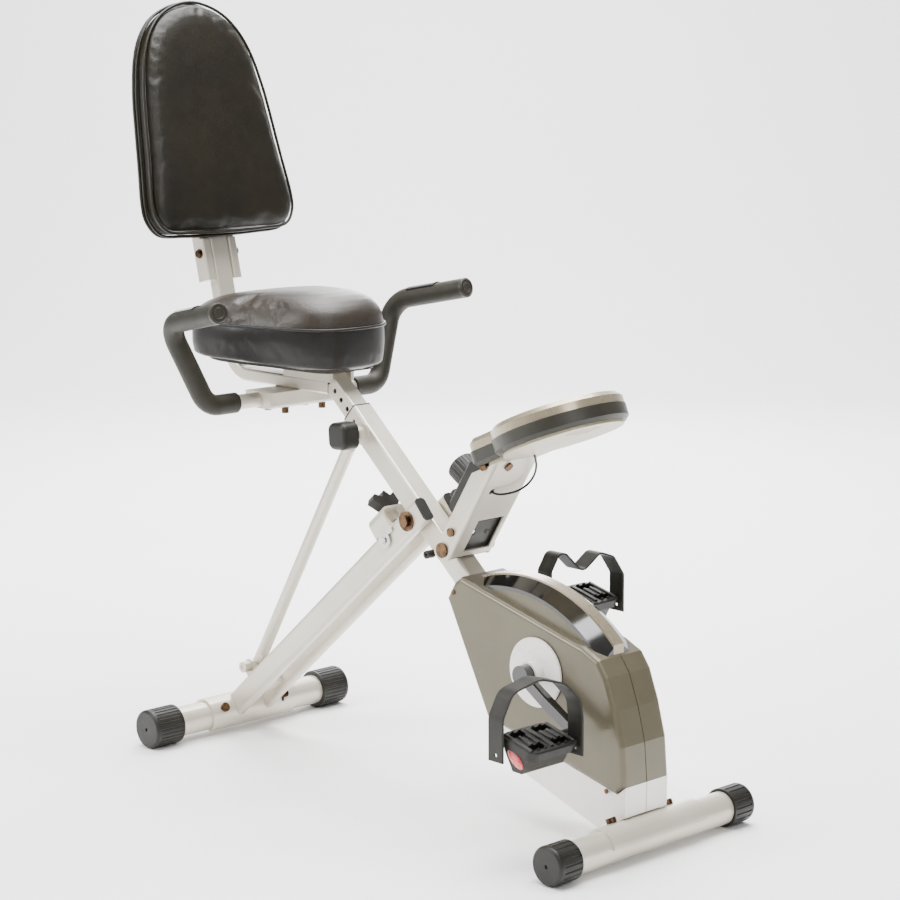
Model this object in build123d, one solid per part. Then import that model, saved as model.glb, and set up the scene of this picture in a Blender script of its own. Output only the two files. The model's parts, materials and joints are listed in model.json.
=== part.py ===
from build123d import *
import os
from math import acos, atan2, cos, degrees, hypot, radians, sin, tan

# Folding recumbent exercise bike, in millimetres.
# Model frame: x points the way the rider faces and starts at the rear foot, y points to the
# rider's left, z points up from the floor. save() moves every piece back by MID_X, so the
# origin of the written files is the middle of the footprint, on the floor.

# ---- driving dimensions -------------------------------------------------------------------
MID_X = 413.26                    # half way between the rearmost and the foremost point

BASE_R = 25.5                     # floor tubes
BASE_HALF = 214.5                 # half of a floor tube's length over its caps
REAR_BASE = (0.0, 33.0)           # x, z of the rear floor tube's axis
FRONT_BASE = (944.0, 30.0)
REAR_CAP = (33.0, 58.0, 30)       # radius, length, ribs
FRONT_CAP = (30.0, 46.0, 20)
CAP_END = 6.0                     # a cap's end wall

PIVOT = (467.3, 437.0)            # the fold's axis, where the two frames cross
PIVOT_R = 6.0
RUNNING = 0.05                    # radial clearance of a shaft in its hole

MAIN_TILT = -41.4                 # the main tube falls towards the front
MAIN_SIZE = 38.0
MAIN_WALL = 2.0
MAIN_OFFSET = 6.5                 # its centreline passes this far above the pivot
MOUTH = -221.0                    # its open upper end, measured along it from the pivot

LEG_TILT = 40.8                   # the rear legs rise towards the front
LEG_SIZE = (20.0, 40.0)           # width, height
LEG_GAP = 21.0                    # y of a leg's inner face
LEG_OFFSET = -2.0
LEG_PAST = 38.0                   # how far the legs run past the pivot

POST_TILT = 57.5                  # the console post
POST_FOOT = (557.0, 406.0)        # its lower bolt
POST_HALF = 49.0
POST_FRONT = 18.0                 # the web's face, in front of the bolts' line
POST_REAR = -14.0
POST_LENGTH = 205.0
PLATE = 3.0

CONSOLE = (760.0, 621.0)          # centre of the console's disc
CONSOLE_TILT = 23.0
CONSOLE_R = 104.0

SHELL_HALF = 50.0                 # half of the housing's width
SHELL_WALL = 3.0
SKIRT_HALF = 46.0
ARCH_HALF = 36.0                  # half of the arch's width
GUARD = (697.0, 117.0)            # centre of the arch over the housing
LENS_R = 244.0
TRIM_R = 250.0
CREST_R = 266.0

CRANK = (763.0, 250.0)
CRANK_TILT = -29.4
CRANK_LENGTH = 125.0
ARM_Y = (70.0, 86.0)              # a crank arm's boss
ARM_END_Y = (76.0, 90.0)
AXLE_R = 10.0
DISC_R = 53.5
PEDAL_Y = 162.0
PEDAL_HALF = 48.0
PEDAL_WIDE = 72.0
PEDAL_TILT = -14.0
SPINDLE_R = 6.0
FLYWHEEL = (850.0, 208.0)
FLYWHEEL_R = 66.0
FLYWHEEL_Y = (-44.0, -22.0)
WHEEL_AXLE_R = 6.0
PULLEY_R = 66.0
WHEEL_PULLEY_R = 18.0
BELT_Y = (28.0, 40.0)
BELT_THICK = 2.5
MAGNET_GAP = 4.0
MAGNET_ANGLE = 205.0              # its pivot, seen from the flywheel's axis
MAGNET_SWEEP = 62.0

SEAT = (160.0, 672.0)             # a point under the middle of the seat cushion
SEAT_TILT = -2.5
SEAT_TOP_TILT = 1.5
SEAT_HEIGHT = 98.0
SEAT_REAR = -160.0                # from that point
SEAT_NOSE = 155.0
SEAT_REAR_HALF = 158.0
SEAT_NOSE_HALF = 78.0
PAN = 12.0
POST_SECTION = 32.0               # the seat post, which slides in the main tube

BACK_FOOT = (-33.0, 860.0)        # lower edge of the backrest, in the middle of its thickness
BACK_TILT = 104.0
BACK_HEIGHT = 398.0
BACK_HALF = 150.0
BACK_FRONT = -20.0                # the cushion's face and the board's back, from that edge
BACK_REAR = 20.0
BOARD = 10.0

BAR_R = 12.5                      # handlebar
GRIP_R = 17.0
BAR_CROSS = (148.0, 601.0)        # the handlebar's cross run under the seat
BAR_LOW = (150.0, 186.0, 604.0)   # x, y, z of its corners on the left
BAR_HIGH = (124.0, 243.5, 738.0)
BAR_END = (280.5, 265.5, 769.5)
BAR_BENDS = (34.0, 40.0)


# ---- helpers ------------------------------------------------------------------------------
def at(point, tilt=0.0):
    """Local x runs up at `tilt` degrees in the bike's side plane, local z stands on it."""
    return Pos(point[0], 0, point[1]) * Rot(0, -tilt, 0)


MAIN = at(PIVOT, MAIN_TILT) * Pos(0, 0, MAIN_OFFSET)
LEGS = at(PIVOT, LEG_TILT)
POST = at(POST_FOOT, POST_TILT)
HEAD = at(CONSOLE, CONSOLE_TILT)
BACK = at(BACK_FOOT, BACK_TILT)
CUSHION = at(SEAT, SEAT_TILT)


def block(x0, x1, y0, y1, z0, z1):
    return Pos((x0 + x1) / 2, (y0 + y1) / 2, (z0 + z1) / 2) * Box(x1 - x0, y1 - y0, z1 - z0)


def rod(radius, y0, y1, x=0.0, z=0.0):
    """A cylinder along y."""
    return Pos(x, (y0 + y1) / 2, z) * Rot(90, 0, 0) * Cylinder(radius, abs(y1 - y0))


def bar(x0, x1, width, height, corner):
    """A bar along x with a rounded rectangular section, `width` in y and `height` in z."""
    return Pos(x0, 0, 0) * extrude(Plane.YZ * RectangleRounded(width, height, corner), x1 - x0)


def box_tube(x0, x1, size, wall, corner):
    outer = bar(x0, x1, size, size, corner)
    return outer - bar(x0 - 1, x1 + 1, size - 2 * wall, size - 2 * wall, corner - wall)


def outline_face(points):
    return make_face(Polyline(*points, close=True))


def plate_xz(outline, y0, y1):
    """A plate between two y values, from points or a face drawn in the side plane."""
    face = outline_face(outline) if isinstance(outline, list) else outline
    return Pos(0, y1, 0) * extrude(Plane.XZ * face, y1 - y0)


def mirrored(part):
    return mirror(part, about=Plane.XZ)


def both_sides(part):
    return [part, mirrored(part)]


def bent_tube(points, radii, radius, bore=0.0):
    path = FilletPolyline(*points, radius=radii)
    start = Plane(path @ 0, z_dir=path % 0)
    section = start * Circle(radius)
    if bore:
        section -= start * Circle(bore)
    return sweep(section, path=path)


def solids(parts):
    return [s for p in parts for s in p.solids()]


def save(name, *parts):
    """Write one sub-part as its own STEP, moved so that the footprint's middle is x = 0."""
    moved = [Pos(-MID_X, 0, 0) * s for s in solids(parts)]
    for number, solid in enumerate(moved):
        solid.label = name if len(moved) == 1 else f"{name}_{number + 1}"
    shape = moved[0] if len(moved) == 1 else Compound(children=moved, label=name)
    export_step(shape, f"parts/{name}.step")


# ---- floor tubes --------------------------------------------------------------------------
def base_tube(axis):
    x, z = axis
    half = BASE_HALF - CAP_END
    return rod(BASE_R, -half, half, x, z) - rod(BASE_R - 2, -half - 1, half + 1, x, z)


def base_cap(axis, cap):
    """A ribbed plastic sleeve with a closed, slightly domed end, pushed over the tube."""
    x, z = axis
    radius, length, ribs = cap
    body = rod(radius, BASE_HALF - length, BASE_HALF, x, z)
    rim = body.edges().filter_by(GeomType.CIRCLE)
    body = fillet(rim.group_by(Axis.Y)[-1], 5)
    body = body - rod(BASE_R, BASE_HALF - length - 1, BASE_HALF - CAP_END, x, z)
    groove = Pos(radius + 0.6, BASE_HALF - length / 2 - 3, 0) * Rot(90, 0, 0) * Cylinder(2.0, length - 11)
    for rib in range(ribs):
        body -= Pos(x, 0, z) * Rot(0, 360 * rib / ribs + 180 / ribs, 0) * groove
    body += block(x - 7, x + 7, BASE_HALF - length, BASE_HALF - 6, z - radius, z - radius + 4)
    return body - rod(3, BASE_HALF - 2, BASE_HALF + 1, x, z)


def saddle(axis, half, start, sweep_angle):
    """A curved plate lying on a floor tube, from `start` degrees round by `sweep_angle`."""
    x, z = axis
    ring = rod(BASE_R + 4, -half, half, x, z) - rod(BASE_R, -half - 1, half + 1, x, z)
    reach = 80
    wedge = [(x, z)]
    steps = 4
    for step in range(steps + 1):
        angle = radians(start + sweep_angle * step / steps)
        wedge.append((x + reach * cos(angle), z + reach * sin(angle)))
    return ring & plate_xz(wedge, -half - 2, half + 2)


# ---- main frame ---------------------------------------------------------------------------
MAIN_END = 627.0                  # the front floor tube's axis, along the main tube
LOCK_S = -179.0                   # the seat lock's hole, along the main tube
STRUT_TOP = (-203.0, -31.0)       # the strut's pin, in the main tube's own frame


def main_tube():
    tube = MAIN * box_tube(MOUTH, MAIN_END, MAIN_SIZE, MAIN_WALL, 4.5)
    tube -= rod(BASE_R + 4, -60, 60, *FRONT_BASE)
    tube -= MAIN * rod(4.2, -25, -10, LOCK_S, 0)
    tube -= MAIN * rod(3, -25, -10, LOCK_S - 26, 0)
    tube -= rod(PIVOT_R, -30, 30, *PIVOT)
    boss = rod(19, -MAIN_SIZE / 2 - 3, -MAIN_SIZE / 2, LOCK_S, 0) + rod(12, -34, -20, LOCK_S, 0)
    boss = MAIN * (boss - rod(4.2, -40, -15, LOCK_S, 0))
    below = -MAIN_SIZE / 2
    s, n = STRUT_TOP
    ear = MAIN * (block(s - 13, s + 13, 12.5, 16, n, below) + rod(13, 12.5, 16, s, n))
    ear -= MAIN * rod(5, 10, 20, s, n)
    return tube + boss + ear + mirrored(ear) + saddle(FRONT_BASE, 102, 8, 160)


def frame_bolts():
    """Bolts of the main frame: the front saddle, the console post and the strut's top pin."""
    x, z = FRONT_BASE
    made = []
    for y, side in ((-62, 1), (62, 1)):
        angle = 118
        place = Pos(x, y, z) * Rot(0, -angle, 0)
        head = Pos(BASE_R + 8, 0, 0) * Rot(0, 90, 0) * Cylinder(8, 8)
        made.append(place * head)
    for along, radius in ((0, 12), (37, 7), (171, 7)):
        made += both_sides(POST * rod(radius, POST_HALF, POST_HALF + 4, along, -1))
    made.append(POST * Pos(180, -17, -POST_FRONT - 2) * Cylinder(7, 4))
    s, n = STRUT_TOP
    pin = rod(5, -20, 20, s, n) + rod(8, -20, -16, s, n) + rod(8, 16, 20, s, n)
    made.append(MAIN * pin)
    for px, pz in HOUSING_SCREWS:
        made += both_sides(rod(4, SHELL_HALF, SHELL_HALF + 1.5, px, pz))
    return made


HOUSING_SCREWS = [(583, 343), (908, 97)]


def pivot_bolt():
    """The fold's bolt, with its washer, cup head and nut."""
    outer = LEG_GAP + LEG_SIZE[0]
    made = rod(PIVOT_R, -outer - 4, outer + 10, *PIVOT)
    washer = rod(16, -outer - 2.8, -outer - 0.4, *PIVOT)
    head = rod(9, -outer - 9, -outer - 2.8, *PIVOT)
    nut = rod(10, outer + 0.4, outer + 10, *PIVOT)
    return made + washer + head + nut


def fold_stop():
    """A bolt with a rubber sleeve on the main tube, which the rear legs fold against."""
    s, n = 60.0, -MAIN_SIZE / 2 - 1
    face = MAIN_SIZE / 2
    pin = rod(6.5, -face - 15, -face, s, n) - rod(2.5, -face - 17, -face - 12, s, n)
    return both_sides(MAIN * pin)


def seat_tube_collar():
    """The plastic sleeve in the main tube's mouth, which the seat post slides in."""
    inner = POST_SECTION + 0.6
    bore = MAIN_SIZE - 2 * MAIN_WALL
    sleeve = bar(MOUTH - 2.5, MOUTH, MAIN_SIZE, MAIN_SIZE, 4.5) + bar(MOUTH, MOUTH + 30, bore, bore, 2.5)
    return MAIN * (sleeve - bar(MOUTH - 9, MOUTH + 40, inner, inner, 2))


# ---- console post -------------------------------------------------------------------------
def console_post():
    """A folded channel, open towards the rider, cut level under the console."""
    inner = POST_HALF - PLATE
    body = block(-19, POST_LENGTH, -POST_HALF, POST_HALF, -POST_FRONT, -POST_REAR)
    body = fillet(body.edges().filter_by(Axis.X).group_by(Axis.Z)[0], 9)
    hollow = block(-40, POST_LENGTH + 9, -inner, inner, -POST_FRONT + PLATE, 60)
    body -= fillet(hollow.edges().filter_by(Axis.X).group_by(Axis.Z)[0], 6)
    body -= block(-40, -4, -inner + 6, inner - 6, -40, 40)
    body &= rod(19, -60, 60) + block(0, POST_LENGTH + 9, -60, 60, -40, 40)
    body -= block(6, 70, -22, 34, -POST_FRONT - 2, -POST_FRONT + PLATE + 1)
    body -= Pos(130, -25, -POST_FRONT) * Cylinder(5, 12)
    post = POST * body
    under = HEAD * block(-260, 200, -80, 80, -CONSOLE_BACK, 80)
    return post - under


CONSOLE_BACK = 25.0               # the console's underside, below its middle


def post_bracket():
    """A darker bent plate between the post's sides, welded on top of the main tube."""
    inner = POST_HALF - PLATE - 0.2
    body = block(-30, 62, -inner, inner, -12, 13)
    body = fillet(body.edges().filter_by(Axis.X).group_by(Axis.Z)[0], 6)
    body -= block(-60, 80, -inner + 3, inner - 3, -9, 20)
    for y in (-12, 16):
        body -= Pos(38, y, -10) * Cylinder(5, 10)
    bracket = POST * body
    top = MAIN * block(-100, 300, -80, 80, -60, MAIN_SIZE / 2)
    return bracket - top


def tension_panel():
    """The black plastic cover that closes the post's open side and carries the knob."""
    inner = POST_HALF - PLATE - 0.4
    body = block(64, 160, -inner, inner, 6, 34)
    body = chamfer(body.edges().filter_by(Axis.Y).group_by(Axis.Z)[-1], 10)
    body = fillet(body.edges().filter_by(Axis.X).group_by(Axis.Z)[-1], 8)
    neck = Pos(102, 0, 39) * Cylinder(17, 10)
    clip = block(66, 80, -30, -6, 30, 48)
    body = body + neck + fillet(clip.edges().filter_by(Axis.Z), 5)
    return POST * (body - Pos(102, 0, 30) * Cylinder(4, 60))


def tension_knob():
    """The ribbed resistance knob on its short spindle."""
    body = Pos(102, 0, 61) * Cylinder(24, 32)
    body = fillet(body.edges().group_by(Axis.Z)[-1], 3)
    for rib in range(24):
        body -= Pos(102, 0, 63) * Rot(0, 0, 15 * rib) * Pos(24.8, 0, 0) * Cylinder(1.8, 40)
    return POST * (body + Pos(102, 0, 40) * Cylinder(4 - RUNNING, 20))


# ---- console ------------------------------------------------------------------------------
def console_outline(radius, lobe_reach, lobe_half):
    """A disc with a chin lobe towards the rider."""
    lobe = Pos(-(radius + lobe_reach) / 2, 0) * RectangleRounded(radius + lobe_reach, 2 * lobe_half, 22)
    return Circle(radius) + lobe


BAND_LOW = 21.0                   # the band's lower edge, below the console's datum


def console_back():
    body = HEAD * extrude(Pos(0, 0, -CONSOLE_BACK) * console_outline(94, 34, 52), CONSOLE_BACK - BAND_LOW)
    for y in (-36, -24, -12, 0, 12):
        slot = Pos(52, y, -CONSOLE_BACK + 2) * Box(44 - abs(y) / 2, 4, 6)
        body -= HEAD * slot
    return body


def console_band():
    outline = Pos(0, 0, -BAND_LOW) * console_outline(CONSOLE_R, 42, 66)
    body = extrude(outline, BAND_LOW + 3)
    low = body.edges().group_by(Axis.Z)[0]
    # clearance for the heads of the post's upper bolts
    bolts = POST * rod(8, -POST_HALF - 6, POST_HALF + 6, 171, -1)
    return HEAD * chamfer(low, 6) - bolts


def console_bezel():
    body = extrude(Pos(0, 0, 3) * console_outline(CONSOLE_R - 1, 41, 65), 19)
    body = chamfer(body.edges().group_by(Axis.Z)[-1], 7)
    screen = Pos(18, 0, 22) * Box(66, 104, 12.2)
    return HEAD * (body - screen - Pos(-62, 0, 12) * Cylinder(9, 30))


def console_screen():
    return HEAD * Pos(18, 0, 18) * Box(66, 104, 4)


def mode_button():
    cap = Pos(-62, 0, 18.5) * Cylinder(8.6, 9)
    return HEAD * fillet(cap.edges().group_by(Axis.Z)[-1], 1.5)


CABLE_R = 1.8


def cable_points():
    """The sensor lead's route, from the hole in the post's web to the console's underside."""
    route = [POST * Pos(130, -25, -POST_FRONT + 1), POST * Pos(129, -23, -POST_FRONT - 10),
             POST * Pos(131, 38, -POST_FRONT - 9), POST * Pos(172, 47, -POST_FRONT - 9),
             HEAD * Pos(-80, 12, -CONSOLE_BACK - 2.2)]
    return [tuple(place.position) for place in route]


def console_cable():
    points = cable_points()
    radii = cord_radii(points)
    print("console cable radii", [round(r, 1) for r in radii])
    path = FilletPolyline(*points, radius=radii)
    print("console cable length", round(path.length, 1))
    return sweep(Plane(path @ 0, z_dir=path % 0) * Circle(CABLE_R), path=path)


def cord_radii(points):
    radii = []
    for before, corner, after in zip(points, points[1:], points[2:]):
        run_in = Vector(*corner) - Vector(*before)
        run_out = Vector(*after) - Vector(*corner)
        turn = radians(run_in.get_angle(run_out))
        radii.append(0.45 * min(run_in.length, run_out.length) / tan(turn / 2))
    return radii


# ---- housing ------------------------------------------------------------------------------
SEAM = [(942, 108), (926, 95), (655, 158)]
COVER_TOP = [(566, 331), (582, 358), (597, 369), (857, 304), (888, 290), (905, 267), (923, 220), (937, 168)]
COVER_LOW = [(678, 122), (741, 83), (889, 34), (941, 62)]
SEAM_GAP = 1.4                    # the dark line between the two halves of the cover


def cover_hollow():
    """The space inside the shells and the skirt together, as a face in the side plane."""
    whole = outline_face(COVER_TOP + SEAM[:1] + COVER_LOW[::-1] + SEAM[-1:])
    return offset(whole, -SHELL_WALL, kind=Kind.INTERSECTION)


def arch_block(radius, y0, y1):
    """The part of a disc about the guard's centre that stands above the housing."""
    above = [(560, 345), (597, 352), (857, 290), (884, 280), (884, 500), (560, 500)]
    return rod(radius, y0, y1, *GUARD) & plate_xz(above, y0 - 1, y1 + 1)


def right_shell():
    """One housing half: the side panel with a rounded rim, and half of the arch over it."""
    body = plate_xz(COVER_TOP + SEAM, -SHELL_HALF, -SEAM_GAP / 2)
    body = fillet(body.edges().group_by(Axis.Y)[0], 8)
    body += arch_block(LENS_R, -ARCH_HALF, -SEAM_GAP / 2)
    body -= plate_xz(cover_hollow(), SHELL_WALL - SHELL_HALF, 1)
    body -= arch_block(LENS_R - SHELL_WALL, SHELL_WALL - ARCH_HALF, 1)
    body -= rod(AXLE_R + 4, -60, 0, *CRANK)
    return body - frame_clearance()


def lower_skirt():
    """The silver lower cover's right half."""
    body = plate_xz(COVER_LOW + SEAM, -SKIRT_HALF, -SEAM_GAP / 2)
    body -= plate_xz(cover_hollow(), SHELL_WALL - SKIRT_HALF, 1)
    return body - frame_clearance()


def frame_clearance():
    """Space that the main tube and the front floor tube take out of the covers."""
    tube = MAIN * bar(-40, MAIN_END, MAIN_SIZE + 0.6, MAIN_SIZE + 0.6, 4.5)
    base = rod(BASE_R + 4.3, -120, 120, *FRONT_BASE)
    post = POST * block(-30, 90, -60, 60, -POST_FRONT - 0.5, 30)
    return tube + base + post


def cover_top():
    """The shells' full section, which the arch's trims must stay out of."""
    return plate_xz(COVER_TOP + SEAM, -SHELL_HALF, SHELL_HALF)


def guard_crest():
    """The silver crest along the arch's middle."""
    return arch_block(CREST_R, -11, 11) - rod(LENS_R, -12, 12, *GUARD) - frame_clearance() - cover_top()


def guard_trim():
    """Gloss black crescents that slope up from the arch's sides to the crest."""
    x, z = GUARD
    width = ARCH_HALF - 11
    slope = Pos(x, -11 - width / 2, z) * Rot(90, 0, 0) * Cone(CREST_R - 3, TRIM_R, width)
    band = (slope & arch_block(CREST_R, -ARCH_HALF, -11)) - rod(LENS_R, -ARCH_HALF - 1, -10, *GUARD)
    return both_sides(band - cover_top())


# ---- drive --------------------------------------------------------------------------------
def drive_mount():
    """The crank's bearing shell and the flywheel's plates, welded on the main tube."""
    shell = rod(21, -33, 24, *CRANK) - rod(17, -34, 25, *CRANK)
    cheek = plate_xz([(700, 262), (700, 150), (900, 60), (900, 262)], 8, 12)
    reach = plate_xz([(738, 250), (788, 250), (870, 222), (838, 190), (850, 110), (735, 205)], 8, 12)
    cheek = reach & cheek
    cheek += rod(17, 6, 14, *FLYWHEEL)
    cheek -= rod(17, 0, 20, *CRANK)
    plates = cheek + mirrored(cheek)
    plates -= MAIN * bar(-40, MAIN_END, MAIN_SIZE, MAIN_SIZE, 4.5)
    for side in (-1, 1):
        plates -= rod(13, side * 5, side * 15, *FLYWHEEL)
    magnet_pin = rod(4, -46, -MAIN_SIZE / 2, *magnet_pivot())
    return [shell + plates, magnet_pin]


def bearings():
    """Ball bearings, drawn as rings: two for the crank axle and two for the flywheel's."""
    made = []
    for y0, y1 in ((-33, -22), (13, 24)):
        made.append(rod(17, y0, y1, *CRANK) - rod(AXLE_R + RUNNING, y0 - 1, y1 + 1, *CRANK))
    for y0, y1 in ((-14, -6), (6, 14)):
        ring = rod(13, y0, y1, *FLYWHEEL)
        made.append(ring - rod(WHEEL_AXLE_R + RUNNING, y0 - 1, y1 + 1, *FLYWHEEL))
    return made


def crank_axle():
    return rod(AXLE_R, -ARM_Y[0], ARM_Y[0], *CRANK)


def on_crank(distance):
    """A point on the right crank arm's line."""
    angle = radians(CRANK_TILT)
    return CRANK[0] + distance * cos(angle), CRANK[1] + distance * sin(angle)


def crank_right():
    """A cast arm that bows outwards, with the pedal's spindle in its end."""
    frame = at(CRANK, CRANK_TILT)
    boss = rod(16, -ARM_Y[1], -ARM_Y[0])
    low, high = -ARM_Y[1] + 2, -ARM_Y[1] + 14
    step = ARM_END_Y[1] - ARM_Y[1]
    line = [(0, low), (0, high), (55, high - 2), (CRANK_LENGTH, high - step), (CRANK_LENGTH, low - step),
            (55, low - 4)]
    arm = extrude(make_face(Polyline(*line, close=True)), 9, both=True)
    arm = chamfer(arm.edges().filter_by(Axis.Z, reverse=True).group_by(Axis.Z)[-1], 2)
    end = rod(13, -ARM_END_Y[1], -ARM_END_Y[0], CRANK_LENGTH, 0)
    spindle = rod(SPINDLE_R, -PEDAL_Y - PEDAL_HALF + 14, -ARM_END_Y[1], CRANK_LENGTH, 0)
    return frame * (boss + arm + end + spindle)


def opposite(part):
    """The same piece on the left side, half a turn round the crank's axis."""
    turned = Pos(-CRANK[0], 0, -CRANK[1]) * mirrored(part)
    return Pos(CRANK[0], 0, CRANK[1]) * Rot(0, 180, 0) * turned


def crank_discs():
    disc = rod(DISC_R, -SHELL_HALF - 5, -SHELL_HALF - 1.2, *CRANK)
    disc = chamfer(disc.edges().group_by(Axis.Y)[0], 1.5)
    hub = rod(19, -ARM_Y[0], -SHELL_HALF - 5, *CRANK)
    return both_sides((disc + hub) - rod(AXLE_R, -90, 0, *CRANK))


def drive_pulley():
    """The large grooved wheel on the crank axle, lightened by six holes."""
    y0, y1 = BELT_Y
    wheel = rod(PULLEY_R, y0, y1, *CRANK) - rod(AXLE_R, y0 - 1, y1 + 1, *CRANK)
    rim = rod(PULLEY_R - 8, y1 - 4, y1 + 1, *CRANK) - rod(20, y1 - 5, y1 + 2, *CRANK)
    wheel -= rim
    for hole in range(6):
        angle = radians(60 * hole)
        wheel -= rod(13, y0 - 1, y1 + 1, CRANK[0] + 42 * cos(angle), CRANK[1] + 42 * sin(angle))
    return wheel


def flywheel():
    """The flywheel, its axle and the small pulley that turn together."""
    y0, y1 = FLYWHEEL_Y
    wheel = rod(FLYWHEEL_R, y0, y1, *FLYWHEEL)
    for face in ((y0 - 1, y0 + 7), (y1 - 7, y1 + 1)):
        wheel -= rod(FLYWHEEL_R - 14, *face, *FLYWHEEL) - rod(16, *face, *FLYWHEEL)
    wheel -= rod(WHEEL_AXLE_R, y0 - 1, y1 + 1, *FLYWHEEL)
    axle = rod(WHEEL_AXLE_R, y0, BELT_Y[1] + 4, *FLYWHEEL)
    pulley = rod(WHEEL_PULLEY_R, *BELT_Y, *FLYWHEEL) - rod(WHEEL_AXLE_R, 20, 50, *FLYWHEEL)
    return [wheel, axle, pulley]


def drive_belt():
    """A flat ribbed belt, tangent to both pulleys."""
    (x0, z0), (x1, z1) = CRANK, FLYWHEEL
    gap = hypot(x1 - x0, z1 - z0)
    line = atan2(z1 - z0, x1 - x0)

    def loop(extra):
        big, small = PULLEY_R + extra, WHEEL_PULLEY_R + extra
        lean = acos((big - small) / gap)
        corners = []
        for x, z, r in ((x0, z0, big), (x1, z1, small)):
            for sign in (1, -1):
                corners.append((x + r * cos(line + sign * lean), z + r * sin(line + sign * lean)))
        quad = [corners[0], corners[2], corners[3], corners[1]]
        y0, y1 = BELT_Y[0] + 1, BELT_Y[1] - 1
        return rod(big, y0, y1, x0, z0) + rod(small, y0, y1, x1, z1) + plate_xz(quad, y0, y1)

    return loop(BELT_THICK) - loop(0.35)


def magnet_pivot():
    angle = radians(MAGNET_ANGLE)
    reach = FLYWHEEL_R + 17
    return FLYWHEEL[0] + reach * cos(angle), FLYWHEEL[1] + reach * sin(angle)


def magnet_arm():
    """A curved shoe that carries the brake magnets just outside the flywheel's rim."""
    inner, outer = FLYWHEEL_R + MAGNET_GAP, FLYWHEEL_R + MAGNET_GAP + 7
    y0, y1 = FLYWHEEL_Y
    ring = rod(outer, y0, y1, *FLYWHEEL) - rod(inner, y0 - 1, y1 + 1, *FLYWHEEL)
    wedge = [FLYWHEEL]
    for step in range(5):
        angle = radians(MAGNET_ANGLE + MAGNET_SWEEP * step / 4)
        wedge.append((FLYWHEEL[0] + 120 * cos(angle), FLYWHEEL[1] + 120 * sin(angle)))
    shoe = ring & plate_xz(wedge, y0 - 2, y1 + 2)
    eye = rod(9, y0, y1, *magnet_pivot())
    return (shoe + eye) - rod(4 + RUNNING, y0 - 1, y1 + 1, *magnet_pivot())


# ---- pedals -------------------------------------------------------------------------------
STRAP_WIDE = 28.0
STRAP_THICK = 3.0
STRAP_OUT = 61.0                  # from the pedal's middle to a hanging end
STRAP_SKEW = 26.0                 # the strap crosses the tread at this angle
ARCHED = [(-61, -24), (-61, 40), (-46, 78), (-4, 95), (34, 86), (58, 58), (61, 30), (61, -24)]
DIPPED = [(-61, -24), (-61, 48), (-44, 84), (-8, 44), (22, 74), (44, 66), (61, 36), (61, -24)]


def strap_point(along):
    """Where the strap's line is, this far along it from the pedal's middle."""
    return along * sin(radians(STRAP_SKEW)), along * cos(radians(STRAP_SKEW))


def pedal_body(skew_side=1):
    """A ribbed tread over a weighted keel, with a lug at each end for the strap."""
    tread = Pos(4, 0, 1) * Box(PEDAL_WIDE, 2 * PEDAL_HALF, 14)
    tread = fillet(tread.edges().filter_by(Axis.Z), 16)
    tread = chamfer(tread.edges().group_by(Axis.Z)[-1], 2)
    for row in range(7):
        tread += Pos(4, 14 * (row - 3), 8) * Rot(0, 90, 0) * Cylinder(3.2, PEDAL_WIDE - 16)
    for side in (-16, 24):
        for end in (-24, 24):
            tread -= Pos(side, end, 0) * Box(14, 30, 60)
    keel = [(-26, 0), (27, 0), (29, -8), (22, -33), (4, -37), (-18, -14)]
    body = tread + plate_xz(keel, -43, 43)
    for end in (-1, 1):
        x, y = strap_point(end * STRAP_OUT)
        lug = Rot(0, PEDAL_TILT, 0) * Box(14, 16, 10)
        body += Pos(x * skew_side, y - end * (8 + STRAP_THICK / 2), 0) * lug
    body -= rod(SPINDLE_R + RUNNING, -PEDAL_HALF + 13, PEDAL_HALF + 1)
    return at_pedal() * Rot(0, -PEDAL_TILT, 0) * body


def pedal_strap(profile, bend):
    """A rubber strap with punched hanging ends, arched over the tread from end to end."""
    line = FilletPolyline(*profile, radius=bend)
    turn = radians(STRAP_SKEW)
    across = Plane((0, 0, 0), x_dir=(sin(turn), cos(turn), 0), z_dir=(cos(turn), -sin(turn), 0))
    band = across * make_face(offset(line, STRAP_THICK / 2, side=Side.BOTH))
    strap = extrude(band, STRAP_WIDE / 2, dir=(1, 0, 0)) + extrude(band, STRAP_WIDE / 2, dir=(-1, 0, 0))
    for end in (-1, 1):
        x, y = strap_point(end * STRAP_OUT)
        strap -= Pos(x, y, -15) * Rot(90, 0, 0) * Cylinder(3, 20)
    return at_pedal() * strap


def at_pedal():
    x, z = on_crank(CRANK_LENGTH)
    return Pos(x, -PEDAL_Y, z)


def to_left_crank(part):
    """Moves a right pedal's piece across to the left crank arm, which points the other way."""
    x, z = on_crank(CRANK_LENGTH)
    return Pos(2 * (CRANK[0] - x), 2 * PEDAL_Y, 2 * (CRANK[1] - z)) * part


def left_pedal_body(part):
    """The pedal's body with its bore towards the left crank arm."""
    home = at_pedal()
    turned = mirror(home.inverse() * part, about=Plane.XZ)
    return to_left_crank(home * turned)


# ---- rear frame ---------------------------------------------------------------------------
LEG_FOOT = -606.0                 # where the legs meet the rear floor tube


def rear_legs():
    width, height = LEG_SIZE
    y = LEG_GAP + width / 2
    leg = LEGS * Pos(0, -y, LEG_OFFSET) * bar(LEG_FOOT, LEG_PAST - 3, width, height, 7)
    hollow = LEGS * Pos(0, -y, LEG_OFFSET) * bar(LEG_FOOT - 1, LEG_PAST, width - 4, height - 4, 5)
    leg -= hollow
    leg -= rod(PIVOT_R + RUNNING, -60, 0, *PIVOT)
    leg -= LEGS * rod(SAFETY_R + RUNNING, -60, -10, SAFETY[0], SAFETY[1])
    leg -= rod(BASE_R + 4, -80, 80, *REAR_BASE)
    return both_sides(leg)


SAFETY = (-62.0, 4.0)
SAFETY_R = 4.5


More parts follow.
